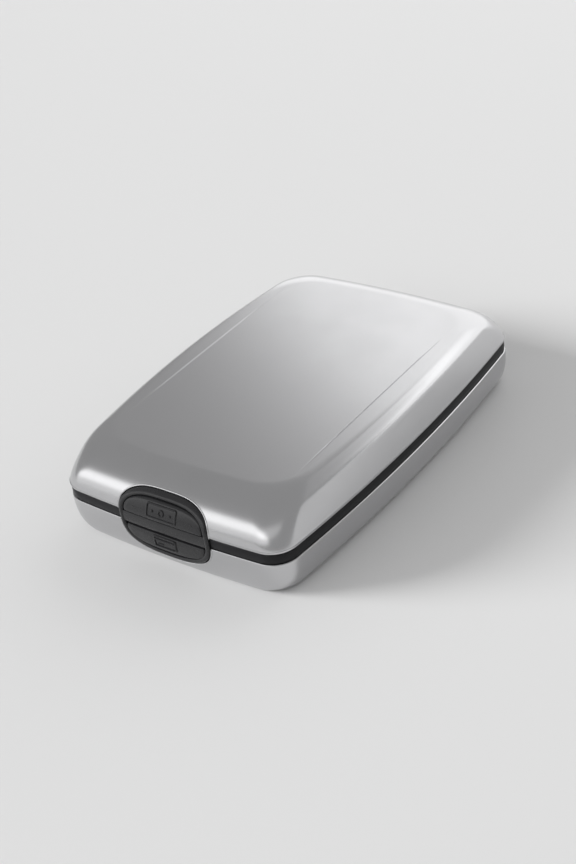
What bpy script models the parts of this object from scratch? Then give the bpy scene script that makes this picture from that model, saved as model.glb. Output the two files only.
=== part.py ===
"""Two-sided aluminium card holder, in metres, standing on its lower shell with +Z up.

A black mid frame carries two sprung lids. Each lid is a pressed aluminium shell over a plastic rim
liner, swings about its own pin at the rear end and is held by a tongue behind a push button at the
front end. Notes lie under a sprung clip on the upper side, cards in a tipping tray on the lower side.

X runs across the case, -Y is the button end and +Y the hinge end. Heights below are measured from the
middle of the frame's edge band, and the whole case is lifted at the end to stand on Z = 0.
"""
import math

import bmesh
import bpy
import numpy as np
from mathutils import Matrix, Vector

mm = 0.001

# Case outline
case_width = 70 * mm
case_length = 104.6 * mm
side_bow = 2.9 * mm
end_bow = 1.5 * mm
corner_radius = 6.6 * mm
side_segments = 4
corner_segments = 5
end_segments = 4

# Edge band and the seams above and below it
band_height = 2.3 * mm
seam_gap = 0.3 * mm
band_recess = 0.2 * mm
band_depth = 3 * mm

# Shells
shell_wall = 0.8 * mm
straight_rise = 0.3 * mm
upper_rise = 9.9 * mm
upper_side_roll = 4.2 * mm
upper_end_roll = 10.8 * mm
upper_roll_power = 1.7
upper_corner_spread = 5 * mm
upper_side_bow = 4.3 * mm
upper_end_bow = 2.1 * mm
upper_crown_across = 0.05 * mm
upper_crown_along = 0.15 * mm
lower_rise = 9.4 * mm
lower_side_roll = 4.6 * mm
lower_end_roll = 2.6 * mm
lower_roll_power = 2.9
lower_corner_spread = 3.6 * mm
roll_rings = 8

# Pressed creases, one along each side of the panel, steep on the inner side and running out at both ends
crease_side_room = 9 * mm
crease_end_room = 16.3 * mm
crease_bow = 0.01 * mm
crease_corner = 1.5 * mm
crease_depth = 0.22 * mm
crease_outer_run = 0.42 * mm
crease_inner_run = 0.12 * mm
crease_full_share = 0.45
panel_ring_shares = (0.66, 0.3)

# Clearances
part_gap = 0.3 * mm
pin_gap = 0.15 * mm
overrun = 5 * mm
weld = 0.4 * mm

# Rim liners
liner_flange = 1 * mm
liner_wall_inset = 3 * mm
liner_wall = 1 * mm
liner_height = 4 * mm

# Hinge
hinge_behind = 0.6 * mm
hinge_height = 1.7 * mm
knuckle_radius = 1.35 * mm
hinge_pin_radius = 0.6 * mm
pin_overhang = 0.5 * mm
spring_bay_half_width = 5.4 * mm
lid_knuckle_width = 7 * mm
frame_lug_width = 5 * mm
barrel_sides = 16

# Lid springs
lid_spring_wire = 0.4 * mm
lid_spring_radius = 1.05 * mm
lid_spring_pitch = 0.92 * mm
lid_spring_turns = 9
lid_spring_leg = 2 * mm

# Button bezel
bezel_half_width = 13.1 * mm
bezel_top = 7.85 * mm
bezel_bottom = 8.2 * mm
bezel_upper_power = 3.14
bezel_lower_power = 2.76
bezel_proud = 0.5 * mm
bezel_depth = 0.9 * mm
bezel_fit = 0.2 * mm
bezel_rim = 1.25 * mm
bezel_bar_half_height = 1.5 * mm
arch_points = 22
snap_leg_place = 4.4 * mm
snap_leg_width = 2 * mm
snap_leg_height = 0.7 * mm
snap_hook_height = 0.7 * mm
snap_hook_length = 0.9 * mm

# Buttons
button_proud = 0.4 * mm
button_depth = 0.4 * mm
button_fit = 0.25 * mm
arm_place = 8 * mm
arm_width = 1.8 * mm
arm_height = 1.4 * mm
crossbar_height = 0.8 * mm
crossbar_depth = 1.2 * mm
crossbar_half_length = 11.4 * mm
tongue_half_width = 5 * mm
barb_height = 0.8 * mm
barb_reach = 0.8 * mm
barb_catch = 0.5 * mm
tongue_tip_height = 1.75 * mm

# Button springs
button_spring_wire = 0.32 * mm
button_spring_radius = 0.9 * mm
button_spring_pitch = 0.78 * mm
button_spring_turns = 2.5
button_spring_share = 0.79
spring_peg_radius = 0.45 * mm
spring_peg_length = 0.8 * mm
seat_play = 0.1 * mm

# Latch bay of the frame
partition_thickness = 1 * mm
bulkhead_thickness = 1 * mm
bulkhead_half_width = 13 * mm
bulkhead_half_height = 5 * mm
post_width = 2.4 * mm
post_depth = 1.2 * mm

# Card tray, whose well takes cards of 85.6 by 54 mm with 0.6 mm to spare each way
tray_side_room = 6.9 * mm
tray_rear_room = 7.2 * mm
tray_wall = 0.8 * mm
tray_floor = 0.8 * mm
tray_wall_height = 4.2 * mm
tray_lip_height = 1.4 * mm
tray_thumb_half_width = 11 * mm
tray_barrel_radius = 1.2 * mm
tray_pin_radius = 0.55 * mm
tray_lug_room = 8.1 * mm
tray_lug_width = 8 * mm
tray_ear_width = 2.6 * mm
tray_spring_wire = 0.36 * mm
tray_spring_radius = 0.9 * mm
tray_spring_pitch = 0.85 * mm
tray_spring_turns = 6

# Money clip
clip_rear_room = 13.3 * mm
clip_front_room = 25.3 * mm
clip_pivot_height = 2.2 * mm
clip_half_width = 7 * mm
clip_thickness = 0.6 * mm
clip_barrel_radius = 1.25 * mm
clip_pin_radius = 0.6 * mm
clip_barrel_width = 3.4 * mm
clip_ear_width = 2 * mm
clip_arch = 0.7 * mm
clip_lift = 0.35 * mm
clip_flare = 1.3 * mm
clip_flare_length = 5 * mm
clip_corner = 2.5 * mm
clip_steps = 10
clip_spring_wire = 0.4 * mm
clip_spring_radius = 0.95 * mm
clip_spring_pitch = 0.9 * mm
clip_spring_turns = 4

curl_points = 9
sharp_angle = math.radians(30)

# Sizes worked out from those above
half_width = case_width / 2
half_length = case_length / 2
crease_half_width = half_width - crease_side_room
crease_half_length = half_length - crease_end_room
half_band = band_height / 2
rim_height = half_band + seam_gap
half_partition = partition_thickness / 2
hinge_y = half_length + hinge_behind
lid_knuckle_inner = spring_bay_half_width + part_gap
lid_knuckle_outer = lid_knuckle_inner + lid_knuckle_width
lug_inner = lid_knuckle_outer + part_gap
lug_outer = lug_inner + frame_lug_width
notch_height = hinge_height + knuckle_radius + part_gap
liner_inner_inset = liner_wall_inset + liner_wall
wall_face_y = -half_length + liner_wall_inset
wall_back_y = -half_length + liner_inner_inset
bar_front_y = wall_back_y + barb_reach - barb_catch
bar_back_y = bar_front_y + crossbar_depth
barb_top = tongue_tip_height + barb_height
bar_low = barb_top + part_gap
arm_low = bar_low + crossbar_height - arm_height
latch_clear_height = bar_low + crossbar_height + part_gap
post_half_inner = arm_place + arm_width / 2 + part_gap
post_top = bar_low + crossbar_height
button_spring_length = button_spring_turns * button_spring_pitch + button_spring_wire
bulkhead_front_y = bar_back_y + button_spring_length + 2 * seat_play + button_spring_wire
bulkhead_back_y = bulkhead_front_y + bulkhead_thickness
button_spring_height = bar_low + crossbar_height / 2
tray_front_y = bulkhead_back_y + part_gap
tray_back_y = half_length - tray_rear_room
tray_half_width = half_width - tray_side_room
well_front_y = tray_front_y + tray_wall
well_back_y = tray_back_y - tray_wall
well_half_width = tray_half_width - tray_wall
tray_top = -(half_partition + part_gap)
tray_pivot_y = well_back_y + part_gap + tray_barrel_radius
tray_pivot_height = tray_top - tray_barrel_radius
tray_low = tray_top - tray_floor - tray_wall_height
tray_lug_inner = tray_half_width - tray_lug_room - tray_lug_width
tray_inner_ear = tray_lug_inner - part_gap - tray_ear_width
tray_outer_ear = tray_lug_inner + tray_lug_width + part_gap
clip_pivot_y = half_length - clip_rear_room
clip_front_y = -half_length + clip_front_room
latch_half_width = bezel_half_width + bezel_fit + part_gap
button_spring_place = crossbar_half_length * button_spring_share
stand_height = rim_height + lower_rise
hook_front_y = -half_length + band_depth + part_gap
hook_tip_y = hook_front_y + snap_hook_length


def outline(half_x, half_y, bow_x, bow_y, corner):
    """Plan outline, counter-clockwise from +X: sides and ends are shallow arcs, tangent to corner arcs."""
    side_r = (half_y ** 2 + bow_x ** 2) / (2 * bow_x)
    end_r = (half_x ** 2 + bow_y ** 2) / (2 * bow_y)
    side_c = np.array([half_x - side_r, 0])
    end_c = np.array([0, half_y - end_r])
    near, far = side_r - corner, end_r - corner
    across = end_c - side_c
    span = np.hypot(*across)
    along = (near ** 2 - far ** 2 + span ** 2) / (2 * span)
    rise = math.sqrt(near ** 2 - along ** 2)
    unit = across / span
    centre = side_c + along * unit + rise * np.array([-unit[1], unit[0]])
    first = math.atan2(*(centre - side_c)[::-1])
    last = math.atan2(*(centre - end_c)[::-1])

    def arc(middle, radius, start, stop, segments):
        angle = np.linspace(start, stop, segments + 1)[:, None]
        return middle + radius * np.hstack([np.cos(angle), np.sin(angle)])

    quarter = np.vstack([arc(side_c, side_r, 0, first, side_segments)[:-1],
                         arc(centre, corner, first, last, corner_segments)[:-1],
                         arc(end_c, end_r, last, math.pi / 2, end_segments)])
    half = np.vstack([quarter, (quarter * [-1, 1])[::-1][1:]])
    return np.vstack([half, (half * [1, -1])[::-1][1:-1]])


def inset_outline(inset):
    """The case's own outline, moved in by one distance all round."""
    return outline(half_width - inset, half_length - inset, side_bow, end_bow, corner_radius - inset)


def at_height(plan, z):
    return np.column_stack([plan, np.broadcast_to(z, len(plan))])


def crease_depth_at(plan):
    """Depth of the creases, full along the middle of the case and none at their ends."""
    reach = np.clip(np.abs(plan[:, 1]) / crease_half_length, crease_full_share, 1)
    share = (1 - reach) / (1 - crease_full_share)
    return crease_depth * share ** 2 * (3 - 2 * share)


class ShellForm:
    """Outer form of one shell, from its rim to the middle of its panel."""

    def __init__(self, sign, rise, rolls, power, spread, top_bows, crowns):
        self.sign, self.rise, self.power, self.spread = sign, rise, power, spread
        self.side_roll, self.end_roll = rolls
        self.top_side_bow, self.top_end_bow = top_bows
        self.crown_across, self.crown_along = crowns

    def panel(self, plan, inset):
        """Height of the crowned panel over the rim."""
        x, y = plan[:, 0] / half_width, plan[:, 1] / half_length
        return self.rise - inset - self.crown_across * x ** 2 - self.crown_along * y ** 2

    def rings(self, inset, with_crease):
        """Rings from the rim up the rolled edge and over the panel, moved in by the inset."""
        found = [at_height(inset_outline(inset), rim_height)]
        for angle in np.linspace(0, math.pi / 2, roll_rings):
            back = 1 - math.cos(angle) ** (2 / self.power)
            up = math.sin(angle) ** (2 / self.power)
            plan = outline(half_width - inset - (self.side_roll - inset) * back,
                           half_length - inset - (self.end_roll - inset) * back,
                           side_bow + (self.top_side_bow - side_bow) * back,
                           end_bow + (self.top_end_bow - end_bow) * back,
                           corner_radius - inset + (self.spread + inset) * back)
            top = self.panel(plan, inset)
            found.append(at_height(plan, rim_height + straight_rise + (top - straight_rise) * up))
        if with_crease:
            for run in (crease_outer_run, 0, -crease_inner_run):
                plan = outline(crease_half_width + run, crease_half_length + run, crease_bow, end_bow,
                               crease_corner + run)
                depth = 0 if run else crease_depth_at(plan)
                found.append(at_height(plan, rim_height + self.panel(plan, inset) - depth))
            for share in panel_ring_shares:
                plan = outline(crease_half_width * share, crease_half_length * share, crease_bow,
                               end_bow * share, crease_corner * share)
                found.append(at_height(plan, rim_height + self.panel(plan, inset)))
        return [ring * [1, 1, self.sign] for ring in found]


upper_form = ShellForm(1, upper_rise, (upper_side_roll, upper_end_roll), upper_roll_power,
                       upper_corner_spread, (upper_side_bow, upper_end_bow),
                       (upper_crown_across, upper_crown_along))
lower_form = ShellForm(-1, lower_rise, (lower_side_roll, lower_end_roll), lower_roll_power,
                       lower_corner_spread, (side_bow, end_bow), (0, 0))


def new_object(name, mesh_maker):
    """Object from a bmesh that the maker fills, with its faces turned outward."""
    mesh = bpy.data.meshes.new(name)
    bm = bmesh.new()
    mesh_maker(bm)
    bmesh.ops.recalc_face_normals(bm, faces=bm.faces)
    bm.to_mesh(mesh)
    bm.free()
    made = bpy.data.objects.new(name, mesh)
    bpy.context.scene.collection.objects.link(made)
    return made


def loft(name, rings, closed=False):
    """Solid through rings of equal point counts, capped at both ends or joined into a loop."""
    def fill(bm):
        rows = [[bm.verts.new(point) for point in ring] for ring in rings]
        count = len(rows[0])
        pairs = list(zip(rows, rows[1:])) + ([(rows[-1], rows[0])] if closed else [])
        for low, high in pairs:
            for i in range(count):
                j = (i + 1) % count
                bm.faces.new((low[i], low[j], high[j], high[i]))
        if not closed:
            bm.faces.new(rows[0][::-1])
            bm.faces.new(rows[-1])
    return new_object(name, fill)


def box(name, low, high):
    """Block between two corners."""
    (x0, y0, z0), (x1, y1, z1) = low, high
    plan = np.array([(x0, y0), (x1, y0), (x1, y1), (x0, y1)])
    return loft(name, [at_height(plan, z0), at_height(plan, z1)])


def signed_box(name, low, high, sign):
    """Block given for the upper side, turned over for the lower one where sign is -1."""
    z = sorted((low[2] * sign, high[2] * sign))
    return box(name, (low[0], low[1], z[0]), (high[0], high[1], z[1]))


def prism_y(name, points, y0, y1):
    """Outline in X and Z, drawn out along Y."""
    points = np.asarray(points)
    rings = [np.column_stack([points[:, 0], np.full(len(points), y), points[:, 1]]) for y in (y0, y1)]
    return loft(name, rings)


def prism_x(name, points, x0, x1):
    """Outline in Y and Z, drawn out along X."""
    points = np.asarray(points)
    return loft(name, [np.column_stack([np.full(len(points), x), points]) for x in (x0, x1)])


def arc_points(y, z, radius, start, stop, segments=barrel_sides // 2):
    """Points of an arc in Y and Z."""
    angle = np.linspace(start, stop, segments + 1)
    return np.column_stack([y + radius * np.cos(angle), z + radius * np.sin(angle)])


def cylinder_x(name, x0, x1, y, z, radius):
    """Round bar along X."""
    turn = math.pi / barrel_sides
    return prism_x(name, arc_points(y, z, radius, turn, 2 * math.pi + turn, barrel_sides)[1:], x0, x1)


def ear_outline(y, z, radius, foot):
    """Ear that stands on a foot height and ends in a half round about a pin, above or below the foot."""
    end = arc_points(0, 0, radius, math.pi, 0) * [1, math.copysign(1, z - foot)]
    return np.vstack([(y - radius, foot), end + [y, z], (y + radius, foot)])


def double_lug_outline(y, z, radius):
    """Lug with round ends about two pins, one as far above the middle as the other is below it."""
    return np.vstack([arc_points(y, z, radius, 0, math.pi),
                      arc_points(y, -z, radius, math.pi, 2 * math.pi)])


def knuckle_outline(y, z, radius, web_y, web_low, web_high):
    """Knuckle about a pin with a flat web that reaches forward from it."""
    first = math.pi - math.asin((web_low - z) / radius)
    last = 3 * math.pi - math.asin((web_high - z) / radius)
    return np.vstack([(web_y, web_low), arc_points(y, z, radius, first, last, barrel_sides),
                      (web_y, web_high)])


def both_sides(side, near, far):
    """The two X places of a block that lies between two distances from the middle."""
    return sorted((side * near, side * far))


def cylinder_y(name, y0, y1, x, z, radius, sides=barrel_sides // 2):
    """Round bar along Y."""
    angle = np.linspace(0, 2 * math.pi, sides, endpoint=False)
    circle = np.column_stack([x + radius * np.cos(angle), z + radius * np.sin(angle)])
    return prism_y(name, circle, y0, y1)


def combine(base, operation, others):
    """Applies one Boolean per other solid, then removes those solids."""
    for other in others:
        step = base.modifiers.new(operation.title(), "BOOLEAN")
        step.operation = operation
        step.solver = "EXACT"
        step.object = other
    depsgraph = bpy.context.evaluated_depsgraph_get()
    result = bpy.data.meshes.new_from_object(base.evaluated_get(depsgraph))
    base.modifiers.clear()
    old = base.data
    base.data = result
    bpy.data.meshes.remove(old)
    for other in others:
        bpy.data.objects.remove(other)
    return base


def join(base, *others):
    return combine(base, "UNION", others)


def cut(base, *others):
    return combine(base, "DIFFERENCE", others)


def keep_inside(base, other):
    return combine(base, "INTERSECT", [other])


def case_body(name, inset):
    """The closed case as one solid, moved in by the inset, or out where it is negative."""
    return loft(name, lower_form.rings(inset, False)[::-1] + upper_form.rings(inset, False))


def arch(half_x, height, power, base=0.0):
    """Points of an arch over a base line, from its right foot to its left foot."""
    angle = np.linspace(0, math.pi, arch_points)
    across = np.sign(np.cos(angle)) * np.abs(np.cos(angle)) ** (2 / power)
    up = np.sin(angle) ** (2 / power)
    up[0] = up[-1] = 0
    return np.column_stack([half_x * across, base + (height - base) * up])


def bezel_outline(grow):
    """Closed outline of the bezel in X and Z: a tall arch over a lower, rounder one."""
    upper = arch(bezel_half_width + grow, bezel_top + grow, bezel_upper_power)
    lower = arch(bezel_half_width + grow, bezel_bottom + grow, bezel_lower_power) * [1, -1]
    return np.vstack([upper, lower[::-1][1:-1]])


def button_outline(sign, grow):
    """Closed outline of one button's window in X and Z, an arch on a straight foot."""
    height, power = (bezel_top, bezel_upper_power) if sign > 0 else (bezel_bottom, bezel_lower_power)
    foot = bezel_bar_half_height - grow
    return arch(bezel_half_width - bezel_rim + grow, height - bezel_rim + grow, power, foot) * [1, sign]


def spring_points(turns, pitch, radius, start_angle, leg_lengths):
    """Helix about +X through the origin's middle, with a straight tangent leg at each end."""
    count = int(round(turns * curl_points))
    angle = start_angle + np.linspace(0, turns * 2 * math.pi, count + 1)
    x = (np.linspace(0, 1, count + 1) - 1 / 2) * turns * pitch
    coil = np.column_stack([x, radius * np.cos(angle), radius * np.sin(angle)])
    tangents = np.column_stack([np.zeros(2), -np.sin(angle[[0, -1]]), np.cos(angle[[0, -1]])])
    first = coil[0] - tangents[0] * leg_lengths[0]
    last = coil[-1] + tangents[1] * leg_lengths[1]
    return np.vstack([first, coil, last])


def wire(name, points, thickness):
    """Unbroken round wire along the points."""
    curve = bpy.data.curves.new(name, "CURVE")
    curve.dimensions = "3D"
    curve.bevel_depth = thickness / 2
    curve.bevel_resolution = 1
    curve.use_fill_caps = True
    line = curve.splines.new("POLY")
    line.points.add(len(points) - 1)
    for target, point in zip(line.points, points):
        target.co = (*point, 1)
    made = bpy.data.objects.new(name, curve)
    bpy.context.scene.collection.objects.link(made)
    clear = least_gap(points, thickness)
    print(f"{name}: least gap between curls {clear / mm:.2f} mm")
    return made


def least_gap(points, thickness):
    """Smallest clear distance of a wound wire to itself, half a curl or more away along it."""
    apart = curl_points // 2
    gaps = [np.linalg.norm(points[i + apart:] - points[i], axis=1).min()
            for i in range(len(points) - apart)]
    return min(gaps) - thickness


def material(name, colour, roughness, metallic):
    made = bpy.data.materials.new(name)
    made.use_nodes = True
    shader = made.node_tree.nodes["Principled BSDF"]
    shader.inputs["Base Color"].default_value = (*colour, 1)
    shader.inputs["Roughness"].default_value = roughness
    shader.inputs["Metallic"].default_value = metallic
    return made


def finish(made, surface, pivot):
    """Gives the piece its material and hangs it on its joint's empty, with its origin there."""
    made.data.materials.clear()
    made.data.materials.append(surface)
    offset = Vector(pivot["place"])
    if made.type == "CURVE":
        made.location = -offset
    else:
        made.data.transform(Matrix.Translation(-offset))
        made.data.shade_smooth()
        made.data.set_sharp_from_angle(angle=sharp_angle)
    made.parent = pivot["empty"]
    return made


def make_pivot(name, place):
    """Empty on a joint's axis, lifted so that the case stands on Z = 0."""
    empty = bpy.data.objects.new(name, None)
    empty.location = Vector(place) + Vector((0, case_centre_y, stand_height))
    empty.empty_display_size = hinge_height
    bpy.context.scene.collection.objects.link(empty)
    return {"empty": empty, "place": place}


def shell(name, form):
    """Pressed shell with a wall of one thickness, open for the bezel and for the hinge."""
    rings = form.rings(shell_wall, False)[::-1] + form.rings(0, True)
    made = loft(name, rings)
    front = prism_y("front_opening", bezel_outline(bezel_fit), -half_length - overrun,
                    -half_length + overrun)
    notch = signed_box("hinge_opening", (-lug_outer - part_gap, half_length - overrun, 0),
                       (lug_outer + part_gap, half_length + overrun, notch_height), form.sign)
    return cut(made, front, notch)


def liner(name, form):
    """Rim frame under a shell: flange, wall, latch tongue at the front and knuckles at the rear."""
    sign = form.sign
    outer = shell_wall + part_gap
    profile = ((outer, rim_height), (outer, rim_height + liner_flange),
               (liner_wall_inset, rim_height + liner_flange), (liner_wall_inset, rim_height + liner_height),
               (liner_inner_inset, rim_height + liner_height), (liner_inner_inset, rim_height))
    made = loft(name, [at_height(inset_outline(inset), z * sign) for inset, z in profile], closed=True)
    front = -half_length
    flange_cut = signed_box("bezel_room", (-latch_half_width, front - overrun, 0),
                            (latch_half_width, wall_face_y, bezel_top + overrun), sign)
    arm_cuts = [signed_box("arm_room", (min(a, b), front - overrun, 0),
                           (max(a, b), wall_back_y + overrun, latch_clear_height), sign)
                for a, b in ((tongue_half_width, latch_half_width), (-latch_half_width, -tongue_half_width))]
    cut(made, flange_cut, *arm_cuts)
    tongue = signed_box("tongue", (-tongue_half_width, wall_face_y, tongue_tip_height),
                        (tongue_half_width, wall_back_y, latch_clear_height + weld), sign)
    tip_room = signed_box("tip_room", (-tongue_half_width - weld, front - overrun, 0),
                          (tongue_half_width + weld, wall_back_y + overrun, tongue_tip_height), sign)
    barb = signed_box("barb", (-tongue_half_width, wall_back_y - weld, tongue_tip_height),
                      (tongue_half_width, wall_back_y + barb_reach, barb_top), sign)
    cut(made, tip_room)
    join(made, tongue, barb)
    knuckle = knuckle_outline(hinge_y, hinge_height, knuckle_radius, half_length - liner_inner_inset + weld,
                              rim_height, hinge_height + knuckle_radius - weld) * [1, sign]
    for side in (1, -1):
        join(made, prism_x("knuckle", knuckle, *both_sides(side, lid_knuckle_inner, lid_knuckle_outer)))
    bore = cylinder_x("bore", -lug_outer, lug_outer, hinge_y, sign * hinge_height,
                      hinge_pin_radius + pin_gap)
    return cut(made, bore)


def mid_frame(name):
    """Edge band, partition, hinge lugs, latch bay, and the ears of the clip and of the tray."""
    profile = ((band_recess, -half_band), (band_recess, half_band), (band_depth, half_band),
               (band_depth, -half_band))
    made = loft(name, [at_height(inset_outline(inset), z) for inset, z in profile], closed=True)
    plan = inset_outline(band_depth - weld)
    plate = loft("plate", [at_height(plan, z) for z in (-half_partition, half_partition)])
    join(made, plate)
    bezel_room = box("bezel_room", (-latch_half_width, -half_length - overrun, -half_band - overrun),
                     (latch_half_width, -half_length + bezel_depth + part_gap, half_band + overrun))
    notch = box("hinge_notch", (-lug_inner, hinge_y - knuckle_radius - part_gap, -half_band - overrun),
                (lug_inner, half_length + overrun, half_band + overrun))
    room_half_width = snap_leg_width / 2 + part_gap
    room_half_height = snap_leg_height / 2 + part_gap
    leg_rooms = [box("leg_room", (x - room_half_width, -half_length, -room_half_height),
                     (x + room_half_width, hook_tip_y + part_gap, room_half_height))
                 for x in (-snap_leg_place, snap_leg_place)]
    cut(made, bezel_room, notch, *leg_rooms)
    blocks = [box("bulkhead", (-bulkhead_half_width, bulkhead_front_y, -bulkhead_half_height),
                  (bulkhead_half_width, bulkhead_back_y, bulkhead_half_height))]
    lug = double_lug_outline(hinge_y, hinge_height, knuckle_radius)
    clip_ear = ear_outline(clip_pivot_y, clip_pivot_height, clip_barrel_radius, 0)
    tray_ear = ear_outline(tray_pivot_y, tray_pivot_height, tray_barrel_radius, 0)
    clip_ear_inner = clip_half_width + part_gap
    for side in (1, -1):
        x = both_sides(side, post_half_inner, post_half_inner + post_width)
        blocks.append(box("post", (x[0], bar_front_y - part_gap - post_depth, -post_top),
                          (x[1], bar_front_y - part_gap, post_top)))
        blocks.append(prism_x("lug", lug, *both_sides(side, lug_inner, lug_outer)))
        blocks.append(prism_x("clip_ear", clip_ear,
                              *both_sides(side, clip_ear_inner, clip_ear_inner + clip_ear_width)))
        for near in (tray_inner_ear, tray_outer_ear):
            blocks.append(prism_x("tray_ear", tray_ear, *both_sides(side, near, near + tray_ear_width)))
        blocks += [cylinder_y("peg", bulkhead_front_y - spring_peg_length, bulkhead_front_y + weld,
                              side * button_spring_place, sign * button_spring_height, spring_peg_radius)
                   for sign in (1, -1)]
    join(made, *blocks)
    bores = [cylinder_x("bore", -lug_outer - overrun, lug_outer + overrun, hinge_y, sign * hinge_height,
                        hinge_pin_radius + pin_gap) for sign in (1, -1)]
    bores.append(cylinder_x("bore", -half_width, half_width, tray_pivot_y, tray_pivot_height,
                            tray_pin_radius + pin_gap))
    bores.append(cylinder_x("bore", -half_width / 2, half_width / 2, clip_pivot_y, clip_pivot_height,
                            clip_pin_radius + pin_gap))
    return cut(made, *bores)


def bezel(name):
    """Escutcheon that follows the front of the case, with a window for each button and two snap legs."""
    made = prism_y(name, bezel_outline(0), -half_length - overrun, -half_length + 2 * overrun)
    keep_inside(made, case_body("front_face", -bezel_proud))
    windows = [prism_y("window", button_outline(sign, 0), -half_length - overrun,
                       -half_length + 3 * overrun) for sign in (1, -1)]
    cut(made, case_body("back_face", bezel_depth), *windows)
    half = snap_leg_height / 2
    leg = [(-half_length + weld, -half), (hook_tip_y, -half), (hook_tip_y, half),
           (hook_front_y, half + snap_hook_height), (hook_front_y, half), (-half_length + weld, half)]
    for x in (-snap_leg_place, snap_leg_place):
        join(made, prism_x("leg", leg, x - snap_leg_width / 2, x + snap_leg_width / 2))
    return made


def button(name, sign):
    """Push button: a pad in the bezel's window, two arms and the crossbar that catches the lid's barb."""
    made = prism_y(name, button_outline(sign, -button_fit), -half_length - overrun,
                   -half_length + 2 * overrun)
    keep_inside(made, case_body("front_face", -button_proud))
    cut(made, case_body("back_face", button_depth))
    arms = []
    for side in (1, -1):
        x = both_sides(side, arm_place - arm_width / 2, arm_place + arm_width / 2)
        arms.append(signed_box("arm", (x[0], -half_length, arm_low),
                               (x[1], bar_front_y + weld, arm_low + arm_height), sign))
    crossbar = signed_box("crossbar", (-crossbar_half_length, bar_front_y, bar_low),
                          (crossbar_half_length, bar_back_y, bar_low + crossbar_height), sign)
    return join(made, *arms, crossbar)


def card_tray(name):
    """Tray with side and rear walls, a low front lip open for the thumb, and two pivot lugs."""
    made = box(name, (-tray_half_width, tray_front_y, tray_low), (tray_half_width, tray_back_y, tray_top))
    hollow = box("hollow", (-well_half_width, well_front_y, tray_low - overrun),
                 (well_half_width, well_back_y, tray_top - tray_floor))
    lip = box("lip_room", (-well_half_width, tray_front_y - overrun, tray_low - overrun),
              (well_half_width, well_front_y + weld, tray_top - tray_floor - tray_lip_height))
    thumb = box("thumb_room", (-tray_thumb_half_width, tray_front_y - overrun, tray_low - overrun),
                (tray_thumb_half_width, well_front_y + weld, tray_top - tray_floor))
    room_near, room_far = tray_outer_ear - part_gap, tray_outer_ear + tray_ear_width + part_gap
    rear_rooms = [box("ear_room", (x[0], well_back_y, tray_low - overrun),
                      (x[1], tray_back_y + overrun, tray_top + overrun))
                  for x in (both_sides(1, room_near, room_far), both_sides(-1, room_near, room_far),
                            (-tray_lug_inner, tray_lug_inner))]
    cut(made, hollow, lip, thumb, *rear_rooms)
    lug = knuckle_outline(tray_pivot_y, tray_pivot_height, tray_barrel_radius, tray_back_y - weld,
                          tray_pivot_height - tray_barrel_radius / 2,
                          tray_pivot_height + tray_barrel_radius / 2)
    for side in (1, -1):
        join(made, prism_x("lug", lug, *both_sides(side, tray_lug_inner, tray_lug_inner + tray_lug_width)))
    return cut(made, cylinder_x("bore", -half_width, half_width, tray_pivot_y, tray_pivot_height,
                                tray_pin_radius + pin_gap))


def clip_height(y):
    """Underside of the clip's strap: arched over the notes, low at the front, flared at its tip."""
    share = (clip_pivot_y - y) / (clip_pivot_y - clip_front_y)
    low = half_partition + clip_lift
    start = clip_pivot_height - clip_thickness / 2
    flare = np.clip((clip_front_y + clip_flare_length - y) / clip_flare_length, 0, 1) ** 2 * clip_flare
    return start + (low - start) * share + clip_arch * np.sin(math.pi * share) + flare


def money_clip(name):
    """Sprung steel strap with two curled knuckles on its pin."""
    back_y = clip_pivot_y - clip_barrel_radius / 2
    ys = np.linspace(clip_front_y, back_y, clip_steps + 1)
    taper = np.sqrt(np.clip(1 - ((clip_front_y + clip_corner - ys) / clip_corner).clip(0) ** 2, 0, 1))
    halves = clip_half_width - clip_corner * (1 - taper)
    rings = [[(-w, y, z), (w, y, z), (w, y, z + clip_thickness), (-w, y, z + clip_thickness)]
             for w, y, z in zip(halves, ys, clip_height(ys))]
    made = loft(name, [np.array(ring) for ring in rings])
    inner = clip_half_width - clip_barrel_width
    spring_room = box("spring_room", (-inner, clip_pivot_y - clip_barrel_radius - part_gap, -overrun),
                      (inner, clip_pivot_y + overrun, overrun))
    cut(made, spring_room)
    for side in (1, -1):
        join(made, cylinder_x("knuckle", *both_sides(side, inner, clip_half_width), clip_pivot_y,
                              clip_pivot_height, clip_barrel_radius))
    return cut(made, cylinder_x("bore", -half_width, half_width, clip_pivot_y, clip_pivot_height,
                                clip_pin_radius + pin_gap))


def torsion_spring(name, place, turns, pitch, radius, thickness, start_angle, legs, turn_over):
    """Torsion spring round a pin at the place; turn_over mirrors it for the lower side."""
    points = spring_points(turns, pitch, radius, start_angle, legs) * [1, 1, turn_over]
    return wire(name, points + np.array([0, *place]), thickness)


def compression_spring(name, x, z):
    """Coil between a button's crossbar and the bulkhead, round the bulkhead's peg."""
    points = spring_points(button_spring_turns, button_spring_pitch, button_spring_radius, 0, (0, 0))[1:-1]
    along = points[:, [1, 0, 2]]
    end = np.array([0, button_spring_wire, 0])
    along = np.vstack([along[0] - end, along, along[-1] + end])
    middle = (bar_back_y + bulkhead_front_y) / 2
    return wire(name, along + np.array([x, middle, z]), button_spring_wire)


def clear_scene():
    for old in list(bpy.data.objects):
        bpy.data.objects.remove(old)


# The band's bezel and the hinge stick out unequally, so the case is moved along Y to centre its box
front_reach = half_length + bezel_proud
rear_reach = hinge_y + knuckle_radius
case_centre_y = (front_reach - rear_reach) / 2


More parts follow.
